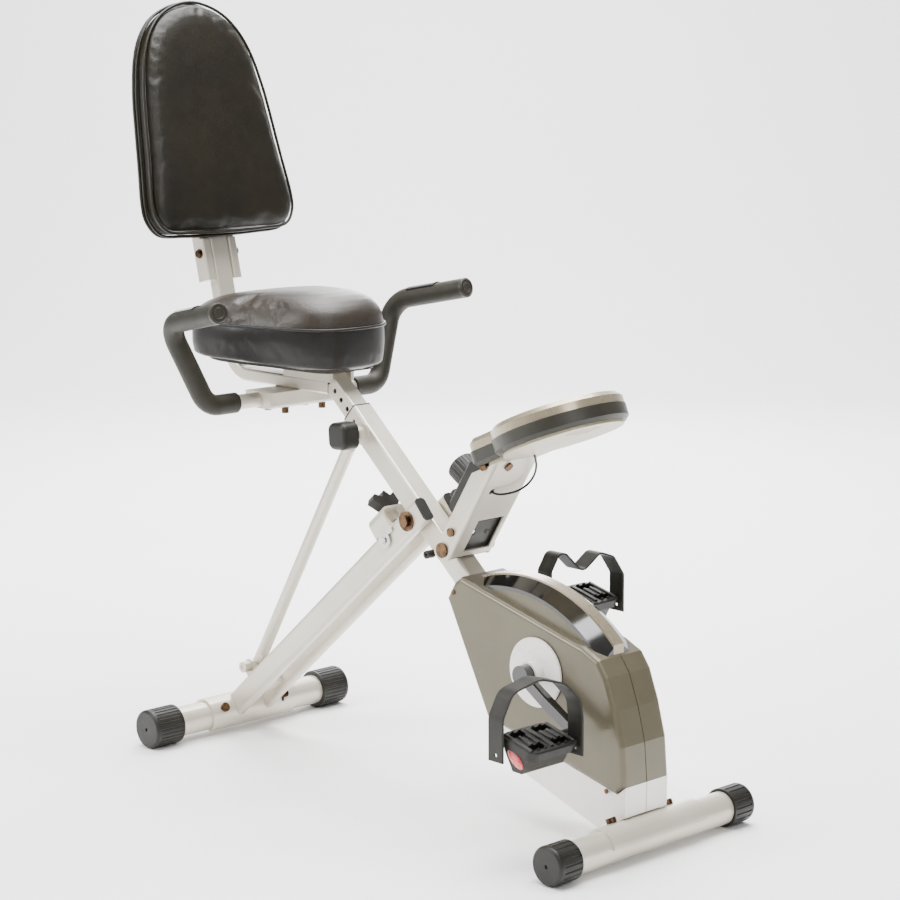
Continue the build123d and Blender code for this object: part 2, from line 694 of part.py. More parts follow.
def leg_plugs():
    """Oval end caps in the legs' upper ends."""
    width, height = LEG_SIZE
    y = LEG_GAP + width / 2
    cap = bar(LEG_PAST - 3, LEG_PAST, width, height, 7)
    cap += bar(LEG_PAST - 20, LEG_PAST - 3, width - 4, height - 4, 5)
    return both_sides(LEGS * Pos(0, -y, LEG_OFFSET) * cap)


def rear_base_tube():
    """The rear floor tube and the half sleeve that its legs are welded to."""
    sleeve = saddle(REAR_BASE, 92, -62, 210)
    slot = Pos(REAR_BASE[0], 62, REAR_BASE[1]) * Rot(0, -20, 0) * Pos(BASE_R, 0, 0) * Box(12, 6, 16)
    return base_tube(REAR_BASE) + sleeve - slot


def rear_bolts():
    made = []
    for y in (-66, 66):
        place = Pos(REAR_BASE[0], y, REAR_BASE[1]) * Rot(0, -30, 0)
        head = Pos(BASE_R + 6.5, 0, 0) * Rot(0, 90, 0) * Cylinder(8, 5)
        made.append(place * head)
    return made


HOOD = (-86.0, -44.0, 54.0)       # the lock bracket: start and end along the legs, height


def lock_bracket():
    """A bent plate arched over the legs beside the pivot, which holds the pull pin."""
    s0, s1, top = HOOD
    outer = LEG_GAP + LEG_SIZE[0] - 3
    foot = LEG_OFFSET + LEG_SIZE[1] / 2
    mid = (top + foot - 30) / 2
    height = top - (foot - 30)
    shape = Pos(0, 0, mid) * bar(s0, s1, 2 * outer, height, 14)
    shape -= Pos(0, 0, mid) * bar(s0 - 1, s1 + 1, 2 * outer - 8, height - 8, 10)
    shape &= block(s0 - 2, s1 + 2, -60, 60, foot, top + 1)
    shape += Pos((s0 + s1) / 2, 0, top - 10) * Cylinder(11, 20)
    shape -= Pos((s0 + s1) / 2, 0, top) * Cylinder(LOCK_PIN_R + RUNNING, 60)
    return LEGS * shape


LOCK_PIN_R = 5.0


def fold_lock_knob():
    """The pull pin and its two-eared knob; the pin's nose stops short of the main tube."""
    s = (HOOD[0] + HOOD[1]) / 2
    top = HOOD[2]
    wing = [(-12, 2), (-30, 22), (-22, 32), (-9, 24), (0, 36), (9, 24), (22, 32), (30, 22), (12, 2)]
    knob = extrude(Plane.YZ * make_face(Polyline(*wing, close=True)), 9, both=True)
    knob = fillet(knob.edges().filter_by(Axis.X), 2)
    return LEGS * Pos(s, 0, top) * (knob + Pos(0, 0, -12) * Cylinder(LOCK_PIN_R, 52))


def safety_pin():
    """A ring-headed pin pushed through both legs below the lock bracket."""
    s, n = SAFETY
    outer = LEG_GAP + LEG_SIZE[0]
    pin = rod(SAFETY_R, -outer - 6, outer + 5, s, n)
    collar = rod(13, -outer - 4, -outer - 0.5, s, n) - rod(6.5, -outer - 5, -outer - 1.5, s, n)
    tab = block(s, s + 26, -outer - 3.5, -outer - 1, n + 2, n + 11)
    return LEGS * (pin + collar + tab)


def strut_hook():
    """Two ears on the legs with a capped cross pin, which the strut's foot hooks over."""
    x, z = STRUT_FOOT
    s, n = in_legs(STRUT_FOOT)
    low = LEG_OFFSET - 8
    ear = block(s - 15, s + 15, 17, LEG_GAP, low, n) + rod(12, 17, LEG_GAP, s, n)
    cross = block(s - 15, s + 15, -17, 17, low, low + 4)
    made = LEGS * (ear + mirrored(ear) + cross)
    pin = rod(STRUT_PIN_R, -LEG_GAP - 12, LEG_GAP + 12, x, z)
    cap = rod(9.5, -LEG_GAP - 14, -LEG_GAP, x, z) - rod(4, -LEG_GAP - 15, -LEG_GAP - 12.5, x, z)
    return made + pin + cap + mirrored(cap)


STRUT_FOOT = (38.0, 116.0)
STRUT_PIN_R = 5.0


def in_legs(point):
    dx, dz = point[0] - PIVOT[0], point[1] - PIVOT[1]
    c, s = cos(radians(LEG_TILT)), sin(radians(LEG_TILT))
    return dx * c + dz * s, dz * c - dx * s


def strut_head():
    c, s = cos(radians(MAIN_TILT)), sin(radians(MAIN_TILT))
    along, up = STRUT_TOP[0], STRUT_TOP[1] + MAIN_OFFSET
    return PIVOT[0] + along * c - up * s, PIVOT[1] + along * s + up * c


def support_strut():
    """The round strut, flattened at both ends, with an open hook at its foot."""
    (x0, z0), (x1, z1) = STRUT_FOOT, strut_head()
    length = hypot(x1 - x0, z1 - z0)
    tilt = degrees(atan2(z1 - z0, x1 - x0))
    tube = Pos(length / 2, 0, 0) * Rot(0, 90, 0) * (Cylinder(10.5, length - 56) - Cylinder(9, length))
    foot = block(0, 32, -6, 6, -9, 9) + rod(11, -6, 6)
    head = block(length - 32, length, -6, 6, -9, 9) + rod(11, -6, 6, length, 0)
    plugs = [Pos(x, 0, 0) * Rot(0, 90, 0) * Cylinder(9, 4) for x in (30, length - 30)]
    body = tube + foot + head + plugs[0] + plugs[1]
    body -= rod(5 + RUNNING, -9, 9, length, 0)
    slot = rod(STRUT_PIN_R + 0.5, -9, 9) + block(-20, 0, -9, 9, -STRUT_PIN_R - 0.5, STRUT_PIN_R + 0.5)
    body -= Rot(0, -HOOK_TURN, 0) * slot
    return at(STRUT_FOOT, tilt) * body


HOOK_TURN = 60.0


# ---- seat, backrest and handlebar ---------------------------------------------------------
POST_TOP = -300.0                 # the seat post's upper end, along the main tube


def seat_post():
    tube = box_tube(POST_TOP - 12, MOUTH + 130, POST_SECTION, 2.0, 3)
    for hole in range(8):
        tube -= rod(4.2, -20, -10, LOCK_S - 112 + 20 * hole, 0)
    tube = MAIN * tube
    return tube - under_seat(-PAN)


def seat_face(inset=0.0):
    """The seat's outline from above: broad and round behind, narrower at the nose."""
    x0, x1 = SEAT_REAR + inset, SEAT_NOSE - inset
    wide, slim = SEAT_REAR_HALF - inset, SEAT_NOSE_HALF - inset
    face = make_face(Polyline((x0, -wide), (x1, -slim), (x1, slim), (x0, wide), close=True))
    face = fillet(face.vertices().group_by(Axis.X)[0], 88 - inset)
    return fillet(face.vertices().group_by(Axis.X)[-1], 56 - inset)


def seat_cushion():
    body = Pos(0, 0, -20) * extrude(seat_face(), SEAT_HEIGHT + 20)
    body = at(SEAT, SEAT_TOP_TILT) * chamfer(body.edges().group_by(Axis.Z)[-1], 40)
    return body & under_seat()


def seat_pan():
    """The board under the cushion."""
    return CUSHION * Pos(0, 0, -PAN) * extrude(seat_face(22), PAN)


def under_seat(offset=0.0):
    """Everything above the plane `offset` from the cushion's underside."""
    return CUSHION * block(-400, 400, -300, 300, offset, 500)


def back_post():
    """The bent tube from under the seat up behind it, flat side to the front."""
    wide, deep = BACK_TUBE
    points = [(252, 0, RAIL_Z), BACK_BEND[0], BACK_BEND[1], BACK_BEND[2]]
    path = FilletPolyline(*points, radius=[52, 60])
    start = Plane(path @ 0, x_dir=(0, 1, 0), z_dir=path % 0)
    section = RectangleRounded(wide, deep, 4) - RectangleRounded(wide - 4, deep - 4, 2)
    tube = sweep(start * section, path=path)
    shoe = block(150, 268, -26, 26, RAIL_Z + deep / 2, SEAT[1] + 20)
    shoe -= block(140, 280, -20, 20, 0, SEAT[1] - 20)
    seat = MAIN * bar(-400, -200, POST_SECTION, POST_SECTION, 3)
    return tube + (shoe - under_seat(-PAN)) - seat


BACK_TUBE = (37.0, 22.0)
RAIL_Z = 625.0
BACK_BEND = [(6, 0, 625), (-24, 0, 700), (-61.9, 0, 856)]
RAIL_WIDE = 18.0
RAIL_DEEP = 30.0


def beside_post(z):
    """A frame on the back post at height z, with local x up along it."""
    (x0, _, z0), (x1, _, z1) = BACK_BEND[1:]
    return at((x0 + (x1 - x0) * (z - z0) / (z1 - z0), z), degrees(atan2(z1 - z0, x1 - x0)))


def backrest_rails():
    """Two upright tubes beside the post, notched to lie on the back of the board."""
    y0 = BACK_TUBE[0] / 2 + 0.4
    rail = beside_post(780) * Pos(0, -(y0 + RAIL_WIDE / 2), 3) * bar(0, 190, RAIL_WIDE, RAIL_DEEP, 4)
    plate = BACK * block(8, 108, -90, 90, BACK_REAR, BACK_REAR + 4)
    rail -= BACK * block(-4, 400, -200, 200, -60, BACK_REAR + 4)
    return [rail, mirrored(rail), plate]


def backrest_bolts():
    """Bolts through the rails and the post, and under the handlebar's clamp."""
    made = beside_post(826)
    y = BACK_TUBE[0] / 2 + 0.4 + RAIL_WIDE
    parts = [made * (rod(8, -y - 2, -y) + rod(6, -y - 6, -y - 2)), made * rod(7, y, y + 5)]
    for side in (-1, 1):
        for x in (BAR_CROSS[0] - 22, BAR_CROSS[0] + 22):
            parts.append(Pos(x, side * 40, BAR_CROSS[1] - 19) * Cylinder(6, 10))
    return parts


def back_face(inset=0.0):
    """The backrest's outline: a tapering shield, round at the top."""
    low, high = inset, BACK_HEIGHT - inset
    half = BACK_HALF - inset
    points = [(low + 60, -half), (low + 126, 8 - half), (low + 170, 13 - half), (low + 219, 18 - half),
              (low + 260, 25 - half), (high - 92, 36 - half), (high - 54, 54 - half), (high - 20, 87 - half)]
    side = Spline(*points, (high, 0), *[(x, -y) for x, y in reversed(points)], tangents=[(-0.1, -1), (-0.1, 1)])
    base = Polyline((low + 60, half), (low, half - 4), (low, 4 - half), (low + 60, -half))
    face = make_face([side.edge()] + base.edges())
    return fillet(face.vertices().group_by(Axis.X)[0], 26)


def backrest_cushion():
    depth = BACK_REAR - BACK_FRONT - BOARD
    body = extrude(back_face(), depth)
    body = chamfer(body.edges().group_by(Axis.Z)[-1], 5)
    return BACK * Rot(180, 0, 0) * Pos(0, 0, -BACK_FRONT - depth) * body


def backrest_board():
    return BACK * Pos(0, 0, BACK_REAR - BOARD) * extrude(back_face(5), BOARD)


def bar_points():
    x, y, z = BAR_LOW
    low = (BAR_CROSS[0], y, BAR_CROSS[1])
    right = [low, BAR_HIGH, BAR_END]
    return [(px, -py, pz) for px, py, pz in reversed(right)] + right


def handlebar():
    radii = [BAR_BENDS[1], BAR_BENDS[0], BAR_BENDS[0], BAR_BENDS[1]]
    return bent_tube(bar_points(), radii, BAR_R, BAR_R - 2)


def grips():
    """Foam sleeves over the outer runs of the handlebar."""
    points = bar_points()[3:]
    cross = (BAR_CROSS[0], 128.0, BAR_CROSS[1])
    line = [cross] + points
    solid = bent_tube(line, [BAR_BENDS[0], BAR_BENDS[1]], GRIP_R)
    core = bent_tube([(cross[0], cross[1] - 5, cross[2])] + points, [BAR_BENDS[0], BAR_BENDS[1]], BAR_R)
    return both_sides(solid - core)


def grip_caps():
    """Round plastic plugs that close the grips' front ends."""
    end, before = Vector(*BAR_END), Vector(*BAR_HIGH)
    along = (end - before).normalized()
    plane = Plane(end, z_dir=along)
    cap = extrude(plane * Circle(GRIP_R), 5)
    return both_sides(cap + extrude(plane * Circle(BAR_R - 2), -12))


def pulse_sensors():
    """Contact plates on top of the grips."""
    end, before = Vector(*BAR_END), Vector(*BAR_HIGH)
    along = (end - before).normalized()
    middle = before + (end - before) * 0.46
    side = Plane(middle, x_dir=along, z_dir=Vector(0, 0, 1) - along * along.Z)
    shell = side * (Pos(0, 0, 0) * Rot(0, 90, 0) * (Cylinder(GRIP_R + 2, 62) - Cylinder(GRIP_R, 70)))
    keep = side * Pos(0, 0, GRIP_R) * Box(80, 24, 16)
    return both_sides(shell & keep)


def handlebar_clamp():
    """A saddle and a cap that hold the handlebar under the seat's rail."""
    x, z = BAR_CROSS
    body = block(x - 32, x + 32, -80, 80, z - 14, RAIL_Z - BACK_TUBE[1] / 2)
    body = fillet(body.edges().filter_by(Axis.Y).group_by(Axis.Z)[0], 6)
    body -= rod(BAR_R, -100, 100, x, z)
    seat = MAIN * bar(-400, -200, POST_SECTION, POST_SECTION, 3)
    return body - seat


def seat_lock_knob():
    """The lobed knob and its pin, pulled out to move the seat."""
    y = -35
    knob = RectangleRounded(44, 44, 13)
    body = Pos(0, y - 10, 0) * extrude(Plane.XZ * knob, 30)
    body = fillet(body.edges().group_by(Axis.Y)[0], 7)
    pin = rod(4, y - 12, -MAIN_SIZE / 2 + 0.4)
    neck = rod(9, y - 10, y - 1)
    return MAIN * Pos(LOCK_S, 0, 0) * Rot(0, 45, 0) * (body + pin + neck)


# ---- all pieces ---------------------------------------------------------------------------
def main():
    os.makedirs("parts", exist_ok=True)
    shell = right_shell()
    skirt = lower_skirt()
    crank = crank_right()
    pedal = pedal_body()
    pieces = {
        "main_tube": [main_tube()],
        "front_base_tube": [base_tube(FRONT_BASE)],
        "front_base_caps": both_sides(base_cap(FRONT_BASE, FRONT_CAP)),
        "frame_bolts": frame_bolts(),
        "pivot_bolt": [pivot_bolt()],
        "fold_stop": fold_stop(),
        "seat_tube_collar": [seat_tube_collar()],
        "console_post": [console_post()],
        "post_bracket": [post_bracket()],
        "tension_panel": [tension_panel()],
        "tension_knob": [tension_knob()],
        "console_back": [console_back()],
        "console_band": [console_band()],
        "console_bezel": [console_bezel()],
        "console_screen": [console_screen()],
        "mode_button": [mode_button()],
        "console_cable": [console_cable()],
        "right_shell": [shell],
        "left_shell": [mirrored(shell)],
        "lower_skirt": both_sides(skirt),
        "guard_crest": [guard_crest()],
        "guard_trim": guard_trim(),
        "drive_mount": drive_mount(),
        "bearings": bearings(),
        "crank_axle": [crank_axle()],
        "crank_right": [crank],
        "crank_left": [opposite(crank)],
        "crank_discs": crank_discs(),
        "drive_pulley": [drive_pulley()],
        "drive_belt": [drive_belt()],
        "flywheel": flywheel(),
        "magnet_arm": [magnet_arm()],
        "pedal_right": [pedal],
        "pedal_left": [left_pedal_body(pedal_body(-1))],
        "pedal_strap_right": [pedal_strap(ARCHED, 26)],
        "pedal_strap_left": [to_left_crank(pedal_strap(DIPPED, 10))],
        "rear_legs": rear_legs(),
        "leg_plugs": leg_plugs(),
        "rear_base_tube": [rear_base_tube()],
        "rear_base_caps": both_sides(base_cap(REAR_BASE, REAR_CAP)),
        "rear_bolts": rear_bolts(),
        "lock_bracket": [lock_bracket()],
        "fold_lock_knob": [fold_lock_knob()],
        "safety_pin": [safety_pin()],
        "strut_hook": [strut_hook()],
        "support_strut": [support_strut()],
        "seat_post": [seat_post()],
        "seat_pan": [seat_pan()],
        "seat_cushion": [seat_cushion()],
        "back_post": [back_post()],
        "backrest_rails": backrest_rails(),
        "backrest_board": [backrest_board()],
        "backrest_cushion": [backrest_cushion()],
        "backrest_bolts": backrest_bolts(),
        "handlebar": [handlebar()],
        "handlebar_clamp": [handlebar_clamp()],
        "grips": grips(),
        "grip_caps": grip_caps(),
        "pulse_sensors": pulse_sensors(),
        "seat_lock_knob": [seat_lock_knob()],
    }
    for name, parts in pieces.items():
        save(name, *parts)


main()
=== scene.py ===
import json
import math

import bmesh
import bpy
import numpy as np
from mathutils import Matrix, Vector


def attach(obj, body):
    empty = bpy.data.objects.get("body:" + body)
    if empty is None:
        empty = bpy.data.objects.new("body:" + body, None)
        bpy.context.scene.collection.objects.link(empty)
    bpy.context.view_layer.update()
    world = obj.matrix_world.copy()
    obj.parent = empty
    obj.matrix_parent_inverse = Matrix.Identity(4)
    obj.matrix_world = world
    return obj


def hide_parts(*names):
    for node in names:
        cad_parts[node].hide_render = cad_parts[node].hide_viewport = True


# Looks for the folding recumbent exercise bike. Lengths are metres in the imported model's frame:
# x points the way the rider faces, y to the rider's left, z up from the floor.

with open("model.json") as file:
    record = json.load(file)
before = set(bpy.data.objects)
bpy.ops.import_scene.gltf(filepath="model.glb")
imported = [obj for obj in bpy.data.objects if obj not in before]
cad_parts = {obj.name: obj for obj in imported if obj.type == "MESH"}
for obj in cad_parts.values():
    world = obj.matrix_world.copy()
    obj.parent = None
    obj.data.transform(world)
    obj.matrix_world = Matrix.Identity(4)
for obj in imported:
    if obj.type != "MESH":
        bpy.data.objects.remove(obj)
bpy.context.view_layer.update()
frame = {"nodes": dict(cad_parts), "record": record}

MID = 0.41326                     # x of the model's origin, seen from the rear foot's axis

# ---- camera -------------------------------------------------------------------------------
CAMERA_AZIMUTH = math.radians(46.412)
CAMERA_ELEVATION = math.radians(9.8527)
CAMERA_ROLL = math.radians(-0.18938)
CAMERA_PLACE = Vector((3.25288 - MID, -2.59817, 1.20756))
CAMERA_LENS = 97.694              # mm on a 36 mm sensor


def add_camera():
    a, e, r = CAMERA_AZIMUTH, CAMERA_ELEVATION, CAMERA_ROLL
    back = Vector((math.sin(a) * math.cos(e), -math.cos(a) * math.cos(e), math.sin(e)))
    right = Vector((math.cos(a), math.sin(a), 0))
    up = back.cross(right)
    right, up = right * math.cos(r) + up * math.sin(r), up * math.cos(r) - right * math.sin(r)
    data = bpy.data.cameras.new("camera")
    data.lens = CAMERA_LENS
    data.sensor_width = 36
    camera = bpy.data.objects.new("camera", data)
    turn = Matrix((right, up, back)).transposed().to_4x4()
    camera.matrix_world = Matrix.Translation(CAMERA_PLACE) @ turn
    bpy.context.collection.objects.link(camera)
    bpy.context.scene.camera = camera


add_camera()

# ---- sensor cable -------------------------------------------------------------------------
CABLE_ROUTE = [(0.22793, -0.0250, 0.50651), (0.23667, -0.0230, 0.49975), (0.23690, 0.0380, 0.50198),
               (0.25893, 0.0470, 0.53656), (0.28373, 0.0120, 0.56470)]
CABLE_THICK = 0.0036


def add_cable():
    """The lead from the post up to the console's underside."""
    line = bpy.data.curves.new("console_lead", "CURVE")
    line.dimensions = "3D"
    line.bevel_depth = 1.0
    line.bevel_resolution = 4
    spline = line.splines.new("NURBS")
    spline.points.add(len(CABLE_ROUTE) - 1)
    for point, place in zip(spline.points, CABLE_ROUTE):
        point.co = (*place, 1)
        point.radius = CABLE_THICK / 2
    spline.order_u = 3
    spline.use_endpoint_u = True
    spline.resolution_u = 24
    lead = bpy.data.objects.new("console_lead", line)
    bpy.context.collection.objects.link(lead)
    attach(lead, "main_frame")
    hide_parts("console_cable")
    return lead


CABLE = add_cable()


# ---- materials ----------------------------------------------------------------------------
def material(name, light, dark, rough, metal=0.0, patch=14.0, grain=900.0, bump=0.10, coat=0.0, kind="noise", shine=0.5):
    """A surface whose colour drifts between two tones, with a fine relief and uneven gloss."""
    made = bpy.data.materials.new(name)
    made.use_nodes = True
    tree = made.node_tree
    shader = tree.nodes["Principled BSDF"]
    place = tree.nodes.new("ShaderNodeTexCoord").outputs["Object"]

    def noise(scale, detail):
        node = tree.nodes.new("ShaderNodeTexNoise")
        node.inputs["Scale"].default_value = scale
        node.inputs["Detail"].default_value = detail
        tree.links.new(place, node.inputs["Vector"])
        return node.outputs["Fac"]

    drift = noise(patch, 4.0)
    tones = tree.nodes.new("ShaderNodeValToRGB")
    tones.color_ramp.elements[0].position = 0.35
    tones.color_ramp.elements[0].color = (*dark, 1)
    tones.color_ramp.elements[1].position = 0.65
    tones.color_ramp.elements[1].color = (*light, 1)
    tree.links.new(drift, tones.inputs["Fac"])
    tree.links.new(tones.outputs["Color"], shader.inputs["Base Color"])

    gloss = tree.nodes.new("ShaderNodeMapRange")
    gloss.inputs["To Min"].default_value = max(0.02, rough - 0.05)
    gloss.inputs["To Max"].default_value = rough + 0.07
    tree.links.new(noise(patch * 5, 3.0), gloss.inputs["Value"])
    tree.links.new(gloss.outputs["Result"], shader.inputs["Roughness"])

    if kind == "grain":
        cells = tree.nodes.new("ShaderNodeTexVoronoi")
        cells.inputs["Scale"].default_value = grain
        tree.links.new(place, cells.inputs["Vector"])
        relief = cells.outputs["Distance"]
    else:
        relief = noise(grain, 3.0)
    raised = tree.nodes.new("ShaderNodeBump")
    raised.inputs["Strength"].default_value = bump
    raised.inputs["Distance"].default_value = 0.0006
    tree.links.new(relief, raised.inputs["Height"])
    tree.links.new(raised.outputs["Normal"], shader.inputs["Normal"])

    shader.inputs["Metallic"].default_value = metal
    shader.inputs["Specular IOR Level"].default_value = shine
    shader.inputs["Coat Weight"].default_value = coat
    shader.inputs["Coat Roughness"].default_value = 0.12
    return made


PAINT = material("frame_paint", (0.62, 0.575, 0.49), (0.56, 0.515, 0.43), 0.34, 0.45, 9, 1600, 0.05, 0.25)
HOUSING = material("housing", (0.118, 0.102, 0.064), (0.098, 0.084, 0.052), 0.34, 0.35, 6, 1500, 0.05, 0.2)
SKIRT = material("skirt_silver", (0.88, 0.84, 0.79), (0.83, 0.79, 0.74), 0.34, 0.1, 8, 1500, 0.04, 0.2)
SILVER = material("silver_plastic", (0.36, 0.305, 0.21), (0.325, 0.275, 0.188), 0.27, 0.6, 5, 1500, 0.04, 0.3)
BLACK = material("black_plastic", (0.011, 0.010, 0.007), (0.006, 0.0055, 0.004), 0.42, 0.0, 20, 1800, 0.18, shine=0.35)
CHARCOAL = material("charcoal", (0.026, 0.0235, 0.017), (0.018, 0.016, 0.011), 0.40, 0.0, 20, 1500, 0.15, shine=0.4)
GLOSS = material("gloss_black", (0.006, 0.005, 0.004), (0.0035, 0.003, 0.0025), 0.10, 0.0, 10, 800, 0.01, 0.6)
WHITE = material("white_plastic", (0.84, 0.81, 0.77), (0.79, 0.76, 0.72), 0.26, 0.0, 10, 900, 0.03, 0.3)
STEEL = material("steel", (0.62, 0.61, 0.58), (0.50, 0.49, 0.46), 0.24, 1.0, 40, 1400, 0.08)
ZINC = material("zinc", (0.15, 0.090, 0.050), (0.065, 0.040, 0.024), 0.26, 1.0, 90, 1400, 0.14)
IRON = material("cast_iron", (0.16, 0.16, 0.16), (0.10, 0.10, 0.10), 0.45, 0.9, 40, 900, 0.25)
RUBBER = material("rubber", (0.014, 0.0125, 0.009), (0.008, 0.007, 0.005), 0.50, 0.0, 25, 1200, 0.20, shine=0.35)
FOAM = material("foam", (0.0150, 0.0125, 0.0060), (0.0095, 0.0080, 0.0038), 0.52, 0.0, 30, 1500, 0.45, shine=0.35)
BOARD = material("board", (0.030, 0.024, 0.017), (0.020, 0.016, 0.011), 0.6, 0.0, 20, 600, 0.2)
BEIGE = material("beige_plastic", (0.42, 0.36, 0.245), (0.36, 0.305, 0.205), 0.38, 0.15, 10, 1500, 0.06)
SCREEN = material("screen", (0.40, 0.41, 0.35), (0.34, 0.35, 0.30), 0.12, 0.0, 8, 900, 0.01, 0.5)
VINYL = material("vinyl", (0.0090, 0.0068, 0.0026), (0.0052, 0.0040, 0.0017), 0.36, 0.0, 12, 620, 0.30, 0.0, "grain", 0.32)
# Seat top: the same dark vinyl as the seat's sides, painted lighter as a painted sheen of the light falling on the
# upper face.
SEAT_TOP_PAINTED_SHEEN = material("seat_top_painted_sheen", (0.026, 0.0195, 0.0140), (0.018, 0.0135, 0.0098), 0.34, 0.0, 12, 520, 0.55, 0.0, "grain", 0.4)
SEAT_SIDE = material("seat_side", (0.0070, 0.0046, 0.0038), (0.0045, 0.003, 0.0026), 0.38, 0.0, 12, 700, 0.22, 0.0,
                     "grain", 0.35)
RED = material("reflector", (0.80, 0.11, 0.12), (0.50, 0.04, 0.05), 0.14, 0.0, 220, 500, 0.6, 0.5, "grain")

LOOKS = {
    "frame_paint": PAINT, "housing": HOUSING, "skirt_silver": SKIRT, "silver_plastic": SILVER,
    "black_plastic": BLACK, "charcoal": CHARCOAL, "gloss_black": GLOSS, "white_plastic": WHITE,
    "steel": STEEL, "zinc": ZINC, "cast_iron": IRON, "rubber": RUBBER, "foam": FOAM, "board": BOARD,
    "beige_plastic": BEIGE, "screen": SCREEN, "vinyl": VINYL,
}


def paint_nodes():
    """Gives every CAD node the look of its own material slot."""
    slots = {entry["node"]: entry["material_slot"] for entry in frame["record"]["subparts"]}
    for name, node in frame["nodes"].items():
        node.data.materials.clear()
        node.data.materials.append(LOOKS[slots[name]])


paint_nodes()
CABLE.data.materials.append(RUBBER)


# ---- mesh helpers -------------------------------------------------------------------------
def mesh_object(name, points, faces, look, smooth=True):
    data = bpy.data.meshes.new(name)
    data.from_pydata([tuple(p) for p in points], [], faces)
    data.materials.append(look)
    made = bpy.data.objects.new(name, data)
    bpy.context.collection.objects.link(made)
    for face in data.polygons:
        face.use_smooth = smooth
    return made


def skin(name, rings, look):
    """A closed surface through rings of equal point counts, with a fan at each end."""
    count = len(rings[0])
    points = [p for ring in rings for p in ring]
    faces = []
    for row in range(len(rings) - 1):
        for k in range(count):
            after = (k + 1) % count
            low, high = row * count, (row + 1) * count
            faces.append((low + k, low + after, high + after, high + k))
    for row, turn in ((0, True), (len(rings) - 1, False)):
        middle = len(points)
        points.append(np.mean(rings[row], axis=0))
        for k in range(count):
            edge = (row * count + k, row * count + (k + 1) % count)
            faces.append((edge[1], edge[0], middle) if turn else (edge[0], edge[1], middle))
    return mesh_object(name, points, faces, look)


def smooth_closed(corners, count):
    """An even, closed curve through 2-D corners, rounded by a Catmull-Rom spline."""
    pts = np.array(corners, float)
    total = len(pts)
    fine = []
    for i in range(total):
        a, b, c, d = (pts[(i + k - 1) % total] for k in range(4))
        for t in np.linspace(0, 1, 24, endpoint=False):
            fine.append(0.5 * (2 * b + (c - a) * t + (2 * a - 5 * b + 4 * c - d) * t * t
                               + (3 * b - a - 3 * c + d) * t ** 3))
    fine = np.array(fine)
    loop = np.vstack([fine, fine[:1]])
    run = np.concatenate([[0], np.cumsum(np.linalg.norm(np.diff(loop, axis=0), axis=1))])
    at = np.linspace(0, run[-1], count, endpoint=False)
    return np.stack([np.interp(at, run, loop[:, k]) for k in range(2)], axis=1)


def rod_along(name, line, radius, look, sides=12, closed=False):
    """A round cord swept along a line of points."""
    line = [Vector(p) for p in line]
    total = len(line)
    rings = []
    side = None
    for i in range(total):
        before = line[(i - 1) % total] if closed or i else line[0]
        after = line[(i + 1) % total] if closed or i < total - 1 else line[-1]
        ahead = (after - before).normalized()
        if side is None:
            side = ahead.orthogonal().normalized()
        side = (side - ahead * side.dot(ahead)).normalized()
        other = ahead.cross(side)
        ring = []
        for k in range(sides):
            angle = 2 * math.pi * k / sides
            ring.append(line[i] + (side * math.cos(angle) + other * math.sin(angle)) * radius)
        rings.append(ring)
    if not closed:
        return skin(name, rings, look)
    points = [p for ring in rings for p in ring]
    faces = []
    for row in range(total):
        for k in range(sides):
            low, high = row * sides, ((row + 1) % total) * sides
            after = (k + 1) % sides
            faces.append((low + k, low + after, high + after, high + k))
    return mesh_object(name, points, faces, look)


def puff(piece, voxel, cap, pressure=4.0):
    """Inflates a closed pad with Cloth, keeps each point within `cap` of its start, and applies it."""
    bpy.context.view_layer.objects.active = piece
    piece.data.remesh_voxel_size = voxel
    bpy.ops.object.select_all(action="DESELECT")
    piece.select_set(True)
    bpy.ops.object.voxel_remesh()
    start = np.empty(len(piece.data.vertices) * 3)
    piece.data.vertices.foreach_get("co", start)
    start = start.reshape(-1, 3)
    cloth = piece.modifiers.new("cloth", "CLOTH")
    cloth.settings.use_pressure = True
    cloth.settings.uniform_pressure_force = pressure
    cloth.settings.effector_weights.gravity = 0
    cloth.settings.quality = 5
    cloth.settings.mass = 0.4
    cloth.settings.tension_stiffness = 25
    cloth.settings.compression_stiffness = 25
    scene = bpy.context.scene
    for step in range(1, 21):
        scene.frame_set(step)
    soft = piece.evaluated_get(bpy.context.evaluated_depsgraph_get())
    end = np.empty(len(piece.data.vertices) * 3)
    soft.data.vertices.foreach_get("co", end)
    end = end.reshape(-1, 3)
    shift = end - start
    length = np.linalg.norm(shift, axis=1, keepdims=True)
    shift *= np.minimum(1, cap / np.maximum(length, 1e-9))
    piece.modifiers.remove(cloth)
    scene.frame_set(1)
    piece.data.vertices.foreach_set("co", (start + shift).ravel())
    piece.data.update()


def refine(piece):
    bpy.context.view_layer.objects.active = piece
    finer = piece.modifiers.new("finer", "SUBSURF")
    finer.levels = 1
    finer.render_levels = 1
    bpy.ops.object.modifier_apply(modifier=finer.name)
    for face in piece.data.polygons:
        face.use_smooth = True


# ---- seat ---------------------------------------------------------------------------------
SEAT_MID = Vector((0.160 - MID, 0, 0.672))
SEAT_FLOOR_TILT = math.radians(-2.5)
SEAT_RIM_TILT = math.radians(-0.4)
SEAT_RIM = 0.058
SEAT_DOME = 0.046


def seat_outline(inset, count=96):
    """The seat from above: a broad round back and a blunt nose."""
    back, nose = -0.160 + inset, 0.155 - inset
    corners = [(back, 0), (back + 0.006, -0.075), (back + 0.038, -0.130 + inset), (back + 0.085, -0.150 + inset),
               (-0.01, -0.132 + inset), (0.06, -0.108 + inset), (nose - 0.035, -0.082 + inset),
               (nose - 0.008, -0.050), (nose, 0)]
    return smooth_closed(corners + [(x, -y) for x, y in reversed(corners[1:-1])], count)


